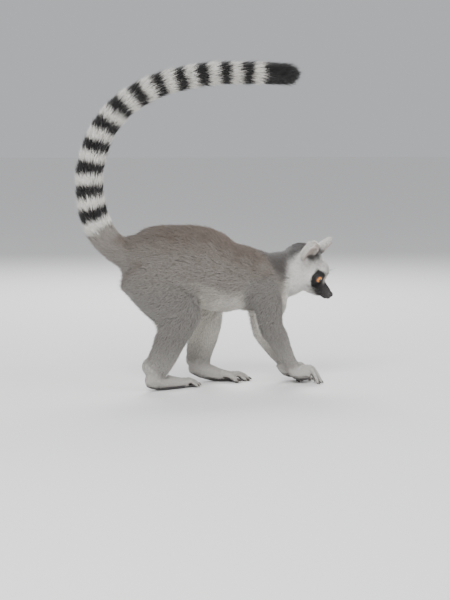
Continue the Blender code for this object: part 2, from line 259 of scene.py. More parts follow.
def edgesOf(mesh):
    return pointsOf(mesh, "edges", "vertices", 2, int)


def setPoints(mesh, points):
    mesh.vertices.foreach_set("co", points.astype(np.float32).ravel())
    mesh.update()


def averaged(values, edges, passes):
    a, b = edges.T
    count = len(values)
    passes = np.broadcast_to(passes, count)
    degree = np.maximum(np.bincount(a, minlength=count) + np.bincount(b, minlength=count), 1)
    values = values.copy()
    for step in range(int(passes.max())):
        gain = 0.5 * (passes > step)
        for k in range(values.shape[1]):
            column = values[:, k]
            total = np.bincount(a, column[b], count) + np.bincount(b, column[a], count)
            values[:, k] = column + (total / degree - column) * gain
    return values


def lookup(nodes):
    vertices, faces, owner = [], [], []
    for name in nodes:
        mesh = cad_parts[name].data
        start = len(vertices)
        vertices += [v.co.copy() for v in mesh.vertices]
        faces += [[start + i for i in p.vertices] for p in mesh.polygons]
        owner += [kindOf(name)] * len(mesh.polygons)
    return BVHTree.FromPolygons(vertices, faces), np.array(owner)


# Tail's middle line: lengths in mm and bends in degrees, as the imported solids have

tail = {
    "root": (-104.5, 0, 229), "heading": 174, "lean": 11, "steps": 10,
    "arcs": ((112, 65), (93, 26), (182, 60), (134, 21), (113, 5)),
}


def tailLine():
    x, _, z = tail["root"]
    whole = sum(length for length, _ in tail["arcs"])
    heading, walked = tail["heading"], 0
    rows = [(x, 0, z)]
    for length, bend in tail["arcs"]:
        step, turn = length / tail["steps"], bend / tail["steps"]
        for _ in range(tail["steps"]):
            way = math.radians(heading - turn / 2)
            x, z = x + step * math.cos(way), z + step * math.sin(way)
            heading -= turn
            walked += step
            rows.append((x, tail["lean"] * math.sin(math.pi * walked / whole), z))
    line = np.array(rows) * mm + shift
    along = unit(np.gradient(line, axis=0))
    run = np.concatenate([[0], np.cumsum(np.linalg.norm(np.diff(line, axis=0), axis=1))]) / mm
    return line, along, run


tailRows, tailAlong, tailRun = tailLine()


def onTail(points, batch=20000):
    out = np.zeros(len(points))
    ways = np.zeros((len(points), 3))
    for start in range(0, len(points), batch):
        some = points[start : start + batch]
        nearest = np.argmin(((some[:, None] - tailRows[None]) ** 2).sum(2), axis=1)
        ways[start : start + batch] = tailAlong[nearest]
        past = ((some - tailRows[nearest]) * tailAlong[nearest]).sum(1) / mm
        out[start : start + batch] = tailRun[nearest] + past
    return out, ways


# Eyelids and mouth

gaze = {"out": 24, "up": 4}  # degrees
lids = {
    "halfWidth": 7.0, "upper": 5.2, "lower": 5.3, "tilt": 10, "thickness": 0.75,
    "corners": (1.8, 2.1),  # powers that shape the slit
    "roll": (1.16, 0.14, 0.35),  # place, width and height of the rolled edge
    "hold": (1.15, 1.75),  # where the lid leaves the ball
    "sink": 2.0, "soft": 0.07, "near": 13, "reach": 17, "cover": 1.0, "ball": 9.2,
}


def eyeAxes(side):
    out, up = math.radians(gaze["out"]) * wayOut[side], math.radians(gaze["up"])
    ahead = [math.cos(out) * math.cos(up), math.sin(out) * math.cos(up), math.sin(up)]
    front = np.array(ahead) @ headAxes
    across = unit(np.cross(headAxes[2], front)[None])[0]  # to the animal's left
    return front, across, np.cross(front, across)


def eyeEdge(points, side):
    front, across, above = eyeAxes(side)
    d = (points - np.array(eyes[side])) / mm
    u, v = d @ across * wayOut[side], d @ above
    tilt = math.radians(lids["tilt"])
    u, v = u * math.cos(tilt) + v * math.sin(tilt), v * math.cos(tilt) - u * math.sin(tilt)
    half = np.where(v > 0, lids["upper"], lids["lower"])
    wide, high = lids["corners"]
    edge = (np.abs(u / lids["halfWidth"]) ** wide + np.abs(v / half) ** high) ** 0.5
    return edge, d @ front, np.linalg.norm(d, axis=1), np.arctan2(v, u)


def lidLine(points):  # 1 on the edge of the lids, more outside
    line = np.full(len(points), 9.0)
    for side in eyes:
        edge, ahead, far, _ = eyeEdge(points, side)
        line = np.minimum(line, np.where((far < lids["near"]) & (ahead > 0), edge, 9))
    return line


mouth = {
    "back": 22, "front": 66, "height": -16.8, "rise": 1.5, "riseOver": 20, "fade": (8, 4),
    "depth": 2.0, "width": 1.1, "inFront": (55, 62, 1.2),
}
groove = {"width": 0.8, "depth": 0.8, "ahead": (56, 62), "foot": (-19, -17), "top": (-9, -6)}
muzzleTip = {"at": (55, 0, -11), "size": (14, 9.8, 9.3), "back": 10}


def lipLine(h, width=1):
    x, z = h[:, 0], h[:, 2]
    back, front, (fadeIn, fadeOut) = mouth["back"], mouth["front"], mouth["fade"]
    line = mouth["height"] + mouth["rise"] * (1 - rampAt(x, back, 0, mouth["riseOver"]))
    ends = rampAt(x, back, 0, fadeIn) * (1 - rampAt(x, front, 0, fadeOut))
    return np.exp(-(((z - line) / mouth["width"] / width) ** 2)) * ends


def cleft(h):  # the groove from the nose to the lip
    inside = bell(h[:, 1], groove["width"]) * ramp(h[:, 0], *groove["ahead"])
    return inside * ramp(h[:, 2], *groove["foot"]) * (1 - ramp(h[:, 2], *groove["top"]))


def carveLids(points, side):
    radius = lids["ball"]
    edge, ahead, far, _ = eyeEdge(points, side)
    near = (far < lids["reach"]) & (ahead > 0)
    opening = 1 - rampAt(edge, 1, -lids["soft"], lids["soft"])
    rollAt, rollWidth, rollHeight = lids["roll"]
    roll = bell(edge - rollAt, rollWidth) * rollHeight
    lid = radius + lids["thickness"] + roll
    target = lid * (1 - opening) + (radius - lids["sink"]) * opening
    hold = 1 - ramp(edge, *lids["hold"])
    wanted = np.where(far < target, target, far * (1 - hold) + target * hold)
    wanted = np.where(opening > 0.5, target, wanted)
    ratio = np.where(near, wanted / np.maximum(far, 1e-6), 1)
    centre = np.array(eyes[side])
    return centre + (points - centre) * ratio[:, None]


def carveFace(points):
    for side in eyes:
        points = carveLids(points, side)
    h = inHead(points)
    tip, size = np.array(muzzleTip["at"]), np.array(muzzleTip["size"])
    out = np.linalg.norm((h - tip) / size, axis=1)
    within = (out < 1) & (h[:, 0] > tip[0] - muzzleTip["back"])
    h = np.where(within[:, None], tip + (h - tip) / np.maximum(out, 0.05)[:, None], h)
    h[:, 1] -= np.sign(h[:, 1]) * np.minimum(np.abs(h[:, 1]) / 3, 1) * lipLine(h) * mouth["depth"]
    start, full, deep = mouth["inFront"]
    h[:, 0] -= cleft(h) * groove["depth"] + lipLine(h) * ramp(h[:, 0], start, full) * deep
    return headOrigin + (h * mm) @ headAxes


# Hands and feet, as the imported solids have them

paws = {  # heel x, y outwards and turn, then each digit's root x, y, length, spread and radius
    "hand": {
        "left": (152, 24, 2),
        "right": (161, 18, 2),
        "drop": 24,
        "digits": (
            (10, 9, 21, 48, 3.9), (25, 8, 22, 13, 3.5), (27, 3, 25, 4, 3.6),
            (26, -3, 27, -5, 3.6), (23, -9, 22, -17, 3.5),
        ),
    },
    "foot": {
        "left": (-2, 34, 0),
        "right": (-94.5, 57, 29),
        "drop": 8,
        "digits": (
            (42, 9, 30, 36, 5.8), (65, 6.5, 20, 9, 4.5), (68, 1, 24, 2, 4.7),
            (67, -5.5, 24, -6, 4.7), (62, -11, 20, -14, 4.4),
        ),
    },
}
furrow = {
    "depth": {"hand": 1.5, "foot": 1.3},
    "length": {"hand": 17, "foot": 22},
    "width": 1.2, "onTop": (0.1, 0.5),
    "full": -2, "ends": (5, 9),  # mm past the roots of the digits
}
pad = {
    "front": {"hand": 32, "foot": 60},
    "line": {"hand": 11.5, "foot": 7},
    "depth": {"hand": 0.6, "foot": 0.4},
    "width": 1.7, "upright": (0.5, 0.85), "fade": 8,
    "crease": 6, "creaseSlant": 0.3, "creaseWidth": 1.4, "creaseUnder": (0.2, 0.6),
}
sole = {  # where its bare skin gives way to fur, with front and edge counted from the pad's front and line
    "faces": (0.3, 0.75), "height": (16, 24), "front": (-4, 3), "edge": (-1.2, 0.6), "rough": 0.05,
}


def inPaw(points, kind, side):
    x, y, turn = paws[kind][side]
    way = wayOut[side]
    d = (points - shift) / mm - np.array([x, y * way, 0])
    c, s = math.cos(math.radians(turn * way)), math.sin(math.radians(turn * way))
    return np.stack([d[:, 0] * c - d[:, 1] * s, -(d[:, 0] * s + d[:, 1] * c) * way, d[:, 2]], axis=1)


def onSide(points, side):
    return np.sign(points[:, 1] - shift[1]) == wayOut[side]


def soleShare(points, normals, share, rough=0):  # bare skin under the digits and below the pad's edge
    z = points[:, 2] / mm
    bare = ramp(-normals[:, 2] + sole["rough"] * rough, *sole["faces"]) * (1 - ramp(z, *sole["height"]))
    for name in paws:
        for side in eyes:
            behind = 1 - rampAt(inPaw(points, name, side)[:, 0], pad["front"][name], *sole["front"])
            low = behind * (1 - rampAt(z, pad["line"][name], *sole["edge"]))
            bare = np.maximum(bare, low * onSide(points, side) * shareOf(share, name))
    return bare


def furrowDepth(local, normals, name, a, b):  # between the digits a and b, on the back of the paw
    angle = math.radians((a[3] + b[3]) / 2)
    ahead = np.array([math.cos(angle), math.sin(angle)])
    d = local[:, :2] - np.array([(a[0] + b[0]) / 2, (a[1] + b[1]) / 2])
    run, off = d @ ahead, d @ np.array([-ahead[1], ahead[0]])
    deep = bell(off, furrow["width"]) * ramp(run, -furrow["length"][name], furrow["full"])
    return deep * (1 - ramp(run, *furrow["ends"])) * ramp(normals[:, 2], *furrow["onTop"])


def padDepth(local, normals, name):  # the edge of the bare pad, and a crease across it
    upright = 1 - ramp(np.abs(normals[:, 2]), *pad["upright"])
    edge = bell(local[:, 2] - pad["line"][name], pad["width"]) * upright
    slant = local[:, 0] - pad["crease"] - pad["creaseSlant"] * local[:, 1]
    crease = bell(slant, pad["creaseWidth"]) * ramp(-normals[:, 2], *pad["creaseUnder"])
    return edge + crease


def carvePaws(points, normals, kind):
    for name in paws:
        digits, front = paws[name]["digits"][1:], pad["front"][name]
        for side in eyes:
            local = inPaw(points, name, side)
            own = (kind == kinds.index(name)) & onSide(points, side)
            for a, b in zip(digits, digits[1:]):
                deep = furrowDepth(local, normals, name, a, b) * own * furrow["depth"][name]
                points = points - normals * deep[:, None] * mm
            behind = 1 - rampAt(local[:, 0], front, -pad["fade"], 0)
            deep = padDepth(local, normals, name) * own * behind * pad["depth"][name]
            points = points - normals * deep[:, None] * mm
    return points


# Skin

skinMake = {
    "swell": 0.4, "noseSwell": 0.2, "voxel": 1.45, "keep": 0.3, "blend": 190, "earDepth": 1.0,
    "fine": ("head", "ear", "hand", "foot"),
    "besideFace": 0.12,  # share of the coat's depth that is left beside the eyes and the nose
    "besideEyes": (1, 9), "besideNose": (0, 16),
    "atNose": (0.3, 12),  # share of the smoothing left at the nose, and how far that reaches
    "evenDepth": 10, "evenShare": 14, "lowerings": 3, "evenLowered": 4,
    "splitEyes": (13.5, (1, 0.9)),
    "splitMouth": ((58, 0, -12), 15, (1,)),
}
faceMiddle = fromHead(27, 0, 0)
noseRadius = 8.2


def mergedNode(name, swell):
    part = bmesh.new()
    part.from_mesh(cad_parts[name].data)
    bmesh.ops.remove_doubles(part, verts=part.verts, dist=1e-5)
    bmesh.ops.recalc_face_normals(part, faces=part.faces)
    part.normal_update()
    for v in part.verts:
        v.co += v.normal * swell * mm
    mesh = bpy.data.meshes.new("mergedNode")
    part.to_mesh(mesh)
    part.free()
    return mesh


def keepOuter(mesh):
    bm = bmesh.new()
    bm.from_mesh(mesh)
    seen, groups = set(), []
    for seed in bm.verts:
        if seed in seen:
            continue
        seen.add(seed)
        group = [seed]
        for v in group:  # it grows while it is read
            fresh = [other for e in v.link_edges if (other := e.other_vert(v)) not in seen]
            seen.update(fresh)
            group += fresh
        groups.append(group)
    outer = max(groups, key=len)
    inner = [v for g in groups if g is not outer for v in g]
    bmesh.ops.delete(bm, geom=inner, context="VERTS")
    bm.to_mesh(mesh)
    bm.free()


def splitNear(mesh, centres, radius, cuts):
    bm = bmesh.new()
    bm.from_mesh(mesh)
    ahead = Vector(headAxes[0])
    for share in cuts:
        reach = radius * share * mm
        near = {v for v in bm.verts if min((v.co - c).length for c in centres) < reach}
        near = {v for v in near if (v.co - faceMiddle).dot(ahead) > 0}
        inside = [e for e in bm.edges if e.verts[0] in near and e.verts[1] in near]
        bmesh.ops.subdivide_edges(bm, edges=inside, cuts=1, use_grid_fill=True)
    bmesh.ops.triangulate(bm, faces=[f for f in bm.faces if len(f.verts) > 4])
    bm.to_mesh(mesh)
    bm.free()


def nearFace(points):  # gaps in mm to the eyeballs and to the nose
    eyeGaps = [gapTo(points, eye) for eye in eyes.values()]
    return np.minimum(*eyeGaps) - lids["ball"], gapTo(points, noseTip) - noseRadius


def fusedSkin():
    bm = bmesh.new()
    for name in fleshNodes:
        bm.from_mesh(mergedNode(name, skinMake["swell"]))
    for side in eyes:
        bm.from_mesh(mergedNode("eye_" + side, lids["cover"]))
    bm.from_mesh(mergedNode("nose", skinMake["noseSwell"]))
    skin = newPiece("skin", bm)
    remesh = skin.modifiers.new("remesh", "REMESH")
    remesh.mode, remesh.voxel_size = "VOXEL", skinMake["voxel"] * mm
    bakeModifiers(skin)
    keepOuter(skin.data)
    print("skin remeshed", len(skin.data.polygons))
    return skin


def coatDepth(points, edges, kind):
    depth = averaged(fleshTable[kind][:, :1], edges, skinMake["blend"])[:, 0]
    depth = np.where(kind == kinds.index("ear"), np.minimum(depth, skinMake["earDepth"]), depth)
    depth = averaged(depth[:, None], edges, skinMake["evenDepth"])[:, 0]
    least = skinMake["besideFace"]
    for gap, name in zip(nearFace(points), ("besideEyes", "besideNose")):
        depth *= least + (1 - least) * ramp(gap, *skinMake[name])
    return depth


def thinSkin(skin, kind):
    loose = skin.vertex_groups.new(name="loose")
    isFine = np.isin(kind, [kinds.index(k) for k in skinMake["fine"]])
    loose.add([int(i) for i in np.flatnonzero(~isFine)], 1, "REPLACE")
    thin = skin.modifiers.new("thin", "DECIMATE")
    thin.ratio, thin.vertex_group, thin.vertex_group_factor = skinMake["keep"], "loose", 1
    bakeModifiers(skin)
    print("skin thinned", len(skin.data.polygons), "of which fine", int(isFine.sum()))
    skin.vertex_groups.clear()


def makeSkin():
    skin = fusedSkin()
    points, edges = pointsOf(skin.data), edgesOf(skin.data)
    search, owner = lookup(fleshNodes)
    kind = owner[[search.find_nearest(p)[2] for p in points]]
    least, reach = skinMake["atNose"]
    passes = np.round(fleshTable[kind][:, 1] * (least + (1 - least) * ramp(nearFace(points)[1], 0, reach)))
    points = averaged(points, edges, passes)
    setPoints(skin.data, points)
    share = averaged(np.eye(len(kinds))[kind], edges, skinMake["evenShare"])
    depth = coatDepth(points, edges, kind)
    for _ in range(skinMake["lowerings"]):  # down to the skin in steps, so that it doesn't fold
        normals = pointsOf(skin.data, attribute="normal")
        lower = points - normals * depth[:, None] * mm / skinMake["lowerings"]
        points = averaged(lower, edges, np.minimum(np.round(passes / 5), skinMake["evenLowered"]))
        setPoints(skin.data, points)
    tree = KDTree(len(points))
    for i, p in enumerate(points):
        tree.insert(p, i)
    tree.balance()
    thinSkin(skin, kind)
    splitNear(skin.data, list(eyes.values()), *skinMake["splitEyes"])
    lipAt, reach, cuts = skinMake["splitMouth"]
    splitNear(skin.data, [fromHead(*lipAt)], reach, cuts)
    points = pointsOf(skin.data)
    same = np.array([tree.find(p)[1] for p in points])
    points = carvePaws(points, pointsOf(skin.data, attribute="normal"), kind[same])
    setPoints(skin.data, carveFace(points))
    skin.data.polygons.foreach_set("use_smooth", np.ones(len(skin.data.polygons), bool))
    return skin, share[same], depth[same]


# Markings, as linear colours

paint = {
    "back": (0.215, 0.176, 0.148),
    "flank": (0.335, 0.305, 0.275),
    "limb": (0.330, 0.312, 0.292),
    "nape": (0.085, 0.078, 0.076),
    "belly": (0.80, 0.765, 0.70),
    "face": (0.86, 0.84, 0.80),
    "patch": (0.010, 0.009, 0.009),
    "muzzle": (0.030, 0.027, 0.026),
    "ear": (0.78, 0.755, 0.71),
    "earInside": (0.36, 0.27, 0.235),
    "paw": (0.455, 0.435, 0.405),
    "palm": (0.022, 0.019, 0.018),
    "ringPale": (0.80, 0.775, 0.725),
    "ringDark": (0.012, 0.011, 0.011),
}
paint = {name: np.array(colour) for name, colour in paint.items()}
rings = {"start": 84, "pale": 18.5, "dark": 21.5, "soft": 2.4, "tip": 48}
patch = {"round": 15.6, "temple": 21.5, "muzzle": 21.5, "lean": 34, "across": 188, "narrow": 32}
fades = {  # where one colour starts to give way to the next, where it has, and how ragged the border is
    "back": (-0.05, 0.75, 0.08), "belly": (0.15, 0.7, 0.06), "bellyAhead": (-98, -66, 0),
    "breast": (0.2, 0.75, 0.1), "breastSides": (20, 34, 2), "breastAhead": (88, 108, 0),
    "limbInside": (0.15, 0.6, 0.08), "thighUp": (150, 215, 4), "thighOut": (-0.3, 0.2, 0),
    "shinDown": (-95, -35, 0), "neckSides": (-0.25, 0.35, 0.07), "throat": (0.15, 0.6, 0.1),
    "crownUp": (15, 24, 0.55), "crownBack": (-15, -3, 1.2), "napeBack": (12, 26, 1.5), "napeUp": (-12, 6, 0),
    "patch": (0.88, 1.06, 0.05), "patchAhead": (-6, -2, 0), "snoutAhead": (37, 45, 0.25),
    "snoutUp": (-23, -19, 0), "bridgeAhead": (22, 40, 0), "bridgeSides": (5, 12, 0),
    "bridgeUp": (-12, -4, 0), "earInside": (0.35, 0.85, 0),
}


def fade(x, name, rough=0):
    low, high, ragged = fades[name]
    return ramp(x + ragged * rough, low, high)


def mixed(under, over, share):
    return under + (over - under) * share[:, None]


def wobble(p, size):
    x, y, z = (p / size).T
    waves = np.sin(x * 1.3 + 0.6 * np.sin(y * 1.7)) * np.sin(y * 1.1 + 1.3)
    return waves + 0.6 * np.sin(z * 1.9 + x * 0.7 + 0.5)


def bodyColours(p, n, rough):
    x, y, z = p.T
    nx, ny, nz = n.T
    outwards = ny * np.sign(y)
    below = fade(-nz, "belly", rough) * fade(x, "bellyAhead")
    breast = fade(nx - 0.5 * nz, "breast", rough)
    breast = breast * (1 - fade(np.abs(y), "breastSides", rough)) * fade(x, "breastAhead")
    trunk = mixed(paint["flank"], paint["back"], fade(nz, "back", rough))
    trunk = mixed(trunk, paint["belly"], np.maximum(below, breast * 0.9))
    limb = mixed(paint["limb"], paint["belly"], fade(-outwards, "limbInside", rough))
    thigh = mixed(limb, paint["flank"], fade(z, "thighUp", rough) * fade(outwards, "thighOut"))
    lower = mixed(limb, paint["paw"], fade(-z, "shinDown"))
    neckSide = fade(nz + 0.25 * np.abs(ny), "neckSides", rough)
    neck = mixed(paint["flank"], paint["nape"], neckSide * 0.8)
    neck = mixed(neck, paint["belly"], np.maximum(fade(-nz, "throat", rough), breast))
    looks = dict.fromkeys(("chest", "abdomen"), trunk) | dict.fromkeys(("forearm", "shank"), lower)
    return looks | {"neck": neck, "upper_arm": limb, "thigh": thigh}


def leaning(spin, lean):  # 1 on the side of the eye that this lean points to
    return bell(np.degrees(np.angle(np.exp(1j * (spin - math.radians(lean))))), patch["narrow"])


def headColour(points, h, rough):
    x, y, z = h.T
    crown = fade(z, "crownUp", rough) * fade(-x, "crownBack", rough)
    behind = fade(-x, "napeBack", rough) * fade(z, "napeUp")
    head = mixed(paint["face"], paint["nape"], np.maximum(crown, behind) * 0.95)
    for side in eyes:
        _, ahead, _, spin = eyeEdge(points, side)
        front = np.array(eyes[side]) + eyeAxes(side)[0] * lids["ball"] * 0.8 * mm
        away = gapTo(points, front)
        temple = leaning(spin, patch["lean"])
        inner = leaning(spin, patch["lean"] + patch["across"])
        limit = patch["round"] + (patch["temple"] - patch["round"]) * temple
        limit = limit + (patch["muzzle"] - patch["round"]) * inner
        dark = (1 - fade(away / limit, "patch", rough)) * fade(ahead, "patchAhead")
        head = mixed(head, paint["patch"], dark)
    snout = fade(x - 0.3 * (z + 10), "snoutAhead", rough) * fade(z, "snoutUp")
    head = mixed(head, paint["muzzle"], snout)
    bridge = fade(x, "bridgeAhead") * (1 - fade(np.abs(y), "bridgeSides")) * fade(z, "bridgeUp")
    head = mixed(head, paint["limb"], bridge * (1 - snout) * 0.6)
    return mixed(head, paint["patch"], np.maximum(lipLine(h, 1.5) * 0.9, cleft(h)))


def tailColour(points, rough):
    run, _ = onTail(points)
    pale, pair, half = rings["pale"], rings["pale"] + rings["dark"], rings["soft"] / 2
    phase = np.mod(run + 0.9 * rough - rings["start"], pair)
    dark = rampAt(phase, pale, -half, half) * (1 - rampAt(phase, pair, -half, half))
    dark = np.maximum(dark, 1 - ramp(phase, -half, half))
    dark = np.maximum(dark, rampAt(run, tailRun[-1] - rings["tip"], 0, rings["soft"]))
    ringed = mixed(paint["ringPale"], paint["ringDark"], dark)
    return mixed(paint["flank"], ringed, rampAt(run + rough, rings["start"], -4, 1))


def markings(points, normals, share):
    p = (points - shift) / mm
    rough = wobble(p, 6)
    looks = bodyColours(p, normals, rough)
    looks["head"] = headColour(points, inHead(points), rough)
    looks["ear"] = mixed(paint["ear"], paint["earInside"], fade(normals @ headAxes[0], "earInside") * 0.7)
    paw = mixed(paint["paw"], paint["palm"], soleShare(points, normals, share, rough))
    looks |= dict.fromkeys(("hand", "foot"), paw)
    looks["tail"] = tailColour(points, rough)
    colour = sum(looks[k] * shareOf(share, k)[:, None] for k in kinds)
    return colour / np.maximum(share.sum(1, keepdims=True), 1e-6)


# Lie of the coat: away from the nose over the body, and along the tail

lieMake = {"furthest": 9.0, "evenReach": 10, "evenLie": 16}


def reachFromNose(points, edges, lengths):
    links = [[] for _ in points]
    for (a, b), far in zip(edges.tolist(), lengths.tolist()):
        links[a].append((b, far))
        links[b].append((a, far))
    start = int(np.argmin(gapTo(points, noseTip)))
    reach = [lieMake["furthest"]] * len(points)
    reach[start] = 0.0
    queue = [(0.0, start)]
    while queue:
        far, at = heapq.heappop(queue)
        if far > reach[at]:
            continue
        for other, step in links[at]:
            if far + step < reach[other]:
                reach[other] = far + step
                heapq.heappush(queue, (far + step, other))
    return averaged(np.array(reach)[:, None], edges, lieMake["evenReach"])[:, 0]


def lieOfCoat(mesh, points, normals, share):
    edges = edgesOf(mesh)
    a, b = edges.T
    count = len(points)
    lengths = np.linalg.norm(points[a] - points[b], axis=1)
    reach = reachFromNose(points, edges, lengths)
    rise = (reach[b] - reach[a]) / np.maximum(lengths, 1e-7) ** 2
    push = ((points[b] - points[a]) * rise[:, None]).T
    lie = unit(np.stack([np.bincount(a, row, count) + np.bincount(b, row, count) for row in push], axis=1))
    onIt = shareOf(share, "tail")[:, None]
    lie = averaged(lie * (1 - onIt) + onTail(points)[1] * onIt, edges, lieMake["evenLie"])
    return unit(lie - normals * (lie * normals).sum(1, keepdims=True))


# Coat

tuft = {
    "perCover": 2.1, "short": 1.3, "lengths": (0.8, 1.15),
    "rises": (0.75, 1.1), "extraRise": 0.3, "steepest": 0.75, "curve": 1.8,
    "width": 0.5, "widthPerCover": 0.11, "widths": (0.75, 1.2), "rootWidth": 0.7, "thick": 0.6,
    "most": 1.4, "inAll": 143000, "perPiece": 19500,
    "swing": 9, "drift": 0.07, "bend": 0.42, "sunk": 0.3, "lowest": 0.1, "patch": 0.003,
    # painted shade and light: each tuft is painted darker at its root, where the tufts shadow each other near
    # the skin, less so on pale coat, and lighter at its tip
    "rootPaintedShade": 0.7, "paleRootPaintedShade": 0.86, "paleFrom": (0.35, 0.65), "tipPaintedLight": 1.1,
    "uneven": 0.1, "unevenLimits": (0.6, 1.4),
}
guardHair = {"share": 0.07, "length": 1.3, "rise": 1.35, "width": 0.6}  # these break the outline
earFringe = {"all": 2.6, "rim": 3.6, "faces": (0.93, 0.37), "fade": (0.3, 0.7)}
coatPieces = {  # slot and parts
    "coatHead": ("pale_coat", ("head",)),
    "coatEars": ("pale_coat", ("ear",)),
    "coatFore": ("coat", ("neck", "chest")),
    "coatBody": ("coat", ("abdomen",)),
    "coatArms": ("coat", ("upper_arm", "forearm", "hand")),
    "coatLegs": ("coat", ("thigh", "shank", "foot")),
    "coatTail": ("dark_coat", ("tail",)),
}


def tuftShape():
    bm = bmesh.new()
    bmesh.ops.create_cone(
        bm, cap_ends=True, segments=3, radius1=0.5, radius2=0, depth=1, matrix=Matrix.Translation((0, 0, 0.5))
    )
    bmesh.ops.remove_doubles(bm, verts=bm.verts, dist=1e-4)
    everything = bm.verts[:] + bm.edges[:] + bm.faces[:]
    bmesh.ops.bisect_plane(bm, geom=everything, plane_co=(0, 0, tuft["bend"]), plane_no=(0, 0, 1))
    for v in bm.verts:
        if v.co.z < 0.8:
            gain = tuft["rootWidth"] if v.co.z < 0.2 else 1 / (1 - tuft["bend"])  # fullest at the bend
            v.co.x, v.co.y = v.co.x * gain, v.co.y * gain
    bmesh.ops.recalc_face_normals(bm, faces=bm.faces)
    bm.verts.index_update()
    rows = np.array([(-v.co.y, v.co.x, v.co.z) for v in bm.verts])  # the ridge on top
    faces = [[v.index for v in f.verts] for f in bm.faces]
    bm.free()
    return rows, faces


def setMarkings(mesh, colours):
    rgba = np.ones((len(colours), 4), np.float32)
    rgba[:, :3] = colours
    mesh.attributes.new("markings", "FLOAT_COLOR", "POINT").data.foreach_set("color", rgba.ravel())


def arrayed(name, rows, faces, places, colours, uvs):
    count, each = len(places), len(rows)
    mesh = bpy.data.meshes.new(name)
    sizes = np.tile([len(f) for f in faces], count)
    corners = (np.concatenate(faces)[None] + np.arange(count)[:, None] * each).ravel()
    starts = np.concatenate([[0], np.cumsum(sizes)[:-1]])
    mesh.vertices.add(count * each)
    mesh.loops.add(len(corners))
    mesh.polygons.add(len(sizes))
    mesh.vertices.foreach_set("co", places.astype(np.float32).ravel())
    mesh.loops.foreach_set("vertex_index", corners.astype(np.int32))
    mesh.polygons.foreach_set("loop_start", starts.astype(np.int32))
    mesh.polygons.foreach_set("use_smooth", np.ones(len(sizes), bool))
    mesh.update(calc_edges=True)
    setMarkings(mesh, colours.reshape(-1, 3))
    layer = mesh.uv_layers.new(name="OFBake")
    layer.data.foreach_set("uv", uvs.reshape(-1, 2)[corners].astype(np.float32).ravel())
    mesh.validate()
    return addObject(name, mesh)


def tuftColours(colour, z, count):
    # painted shade at the root and painted light at the tip, laid over the markings, with a random tone per
    # tuft
    bend = tuft["bend"]
    pale = ramp(colour.mean(1), *tuft["paleFrom"])[:, None]
    dark = tuft["rootPaintedShade"] * (1 - pale) + tuft["paleRootPaintedShade"] * pale
    shade = dark + (1 - dark) * np.minimum(z / bend, 1)[None]
    shade = shade + (tuft["tipPaintedLight"] - 1) * np.maximum((z - bend) / (1 - bend), 0)[None]
    vary = chance.normal(1, tuft["uneven"], count).clip(*tuft["unevenLimits"])
    return (colour[:, None] * shade[..., None] * vary[:, None, None]).clip(0, 1)


def growTufts(name, at, normal, lie, cover, width, colour, uv, extra):
    rows, faces = tuftShape()
    count = len(at)
    turn = np.radians(chance.normal(0, tuft["swing"], count))[:, None]
    lie = unit(lie * np.cos(turn) + np.cross(normal, lie) * np.sin(turn))
    side = np.cross(normal, lie)
    length = (tuft["perCover"] * cover + tuft["short"] + extra) * chance.uniform(*tuft["lengths"], count)
    rise = cover * chance.uniform(*tuft["rises"], count) + extra * tuft["extraRise"]
    rise = np.minimum(rise, length * tuft["steepest"])
    width = width * chance.uniform(*tuft["widths"], count)
    guard = chance.random(count) < guardHair["share"]
    length = np.where(guard, length * guardHair["length"], length)
    rise = np.where(guard, rise * guardHair["rise"], rise)
    width = np.where(guard, width * guardHair["width"], width)
    along = np.sqrt(np.maximum(length**2 - rise**2, 0.01))
    z = rows[:, 2]
    lift = 1 - (1 - z) ** tuft["curve"]
    drift = chance.normal(0, tuft["drift"], count) * length
    across = rows[None, :, 0] * width[:, None] + drift[:, None] * z[None] ** 2
    places = at[:, None] + lie[:, None] * (along[:, None] * z[None] * mm)[..., None]
    places += normal[:, None] * ((rise[:, None] * lift[None] - tuft["sunk"]) * mm)[..., None]
    places += side[:, None] * (across * mm)[..., None]
    places += normal[:, None] * (rows[None, :, 1] * width[:, None] * tuft["thick"] * mm)[..., None]
    places[..., 2] = np.maximum(places[..., 2], tuft["lowest"] * mm)  # nothing below the floor
    colours = tuftColours(colour, z, count)
    spread = np.stack([rows[:, 0] * 0.9, z - 0.5], axis=1) * tuft["patch"]
    uvs = (uv[:, None] + spread[None]).clip(0, 1)
    return arrayed(name, rows, faces, places, colours, uvs)


bareAt = {  # where the bare skin ends
    "lids": (1.18, 1.42), "lidSkin": (1.1, 1.35), "nose": (6.6, 7.8),
    "lips": 1.6, "lipsOnHead": (0.5, 0.9), "earInside": (0.45, 0.85), "earBare": 0.75,
}
unwrap = {"angle": 70, "gap": 0.002}


def bareShare(points, normals, share):
    bare = 1 - ramp(lidLine(points), *bareAt["lids"])
    bare = np.maximum(bare, 1 - ramp(gapTo(points, nosePadAt), *bareAt["nose"]))
    paw = shareOf(share, "hand") + shareOf(share, "foot")
    bare = np.maximum(bare, paw * soleShare(points, normals, share))
    lips = lipLine(inHead(points), bareAt["lips"]) * ramp(shareOf(share, "head"), *bareAt["lipsOnHead"])
    inside = shareOf(share, "ear") * ramp(normals @ headAxes[0], *bareAt["earInside"])
    return np.maximum(np.maximum(bare, lips), inside * bareAt["earBare"])


def dressSkin(skin, share):
    mesh = skin.data
    points, normals = pointsOf(mesh), pointsOf(mesh, attribute="normal")
    bare = bareShare(points, normals, share)
    lidSkin = 1 - ramp(lidLine(points), *bareAt["lidSkin"])
    setMarkings(mesh, mixed(markings(points, normals, share), paint["palm"], lidSkin))
    mesh.attributes.new("bare", "FLOAT", "POINT").data.foreach_set("value", bare.astype(np.float32))
    return points, normals, bare


